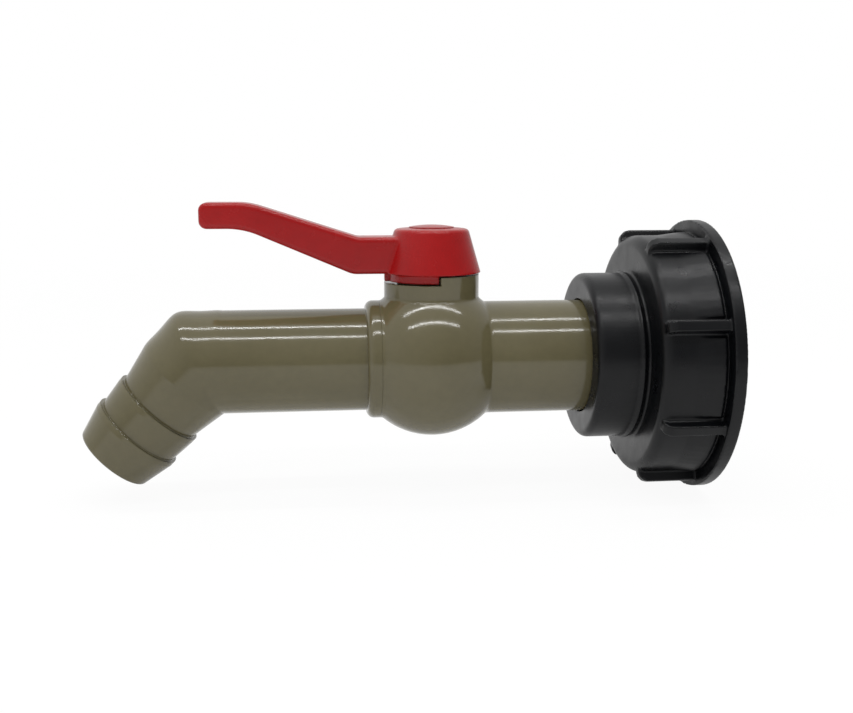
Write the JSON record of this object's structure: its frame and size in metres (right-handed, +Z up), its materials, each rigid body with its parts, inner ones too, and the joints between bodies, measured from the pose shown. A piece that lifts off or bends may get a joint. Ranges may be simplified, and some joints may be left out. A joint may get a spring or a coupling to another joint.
{
  "type": "ibc tank valve",
  "caption": "Plastic quarter-turn ball tap with an angled barbed hose spout, a lever handle and a ribbed screw-on coupling for a tank outlet.",
  "frame": {"origin": "on the pipe axis at the tank gasket's front face, inside the coupling nut", "axes": "+X along the pipe towards the tank, +Z up through the valve stem, handle in line with the pipe when open"},
  "size_m": [0.1814, 0.08, 0.0857],
  "materials": {
    "housing_plastic": "semi-gloss moulded PVC, olive tan",
    "handle_plastic": "semi-gloss moulded ABS, red",
    "coupling_plastic": "satin moulded polypropylene, black",
    "ball_plastic": "polished white acetal",
    "seat_plastic": "white PTFE",
    "stem_plastic": "dark glass-filled nylon",
    "black_rubber": "matte nitrile rubber",
    "screw_steel": "stainless steel"
  },
  "bodies": {
    "tap_body": {"valve_body": "housing_plastic", "outlet_spout": "housing_plastic", "inlet_seat": "seat_plastic", "outlet_seat": "seat_plastic", "inlet_seat_o_ring": "black_rubber", "outlet_seat_o_ring": "black_rubber", "coupling_nut": "coupling_plastic", "tank_gasket": "black_rubber", "inlet_washer": "black_rubber"},
    "turning_handle": {"handle": "handle_plastic", "handle_screw": "screw_steel", "screw_washer": "screw_steel", "handle_cap": "handle_plastic", "stem": "stem_plastic", "stem_thrust_washer": "seat_plastic", "stem_o_ring_lower": "black_rubber", "stem_o_ring_upper": "black_rubber"},
    "turning_ball": {"ball": "ball_plastic"}
  },
  "joints": [
    {"name": "handle_turn", "type": "hinge", "parent": "tap_body", "child": "turning_handle", "pos_m": [-0.0655, 0, 0], "axis": [0, 0, -1], "range_deg": [0, 90]},
    {"name": "ball_turn", "type": "hinge", "parent": "tap_body", "child": "turning_ball", "pos_m": [-0.0655, 0, 0], "axis": [0, 0, -1], "range_deg": [0, 90]}
  ],
  "couplings": [
    {"joint": "ball_turn", "follows": "handle_turn", "ratio": 1}
  ]
}
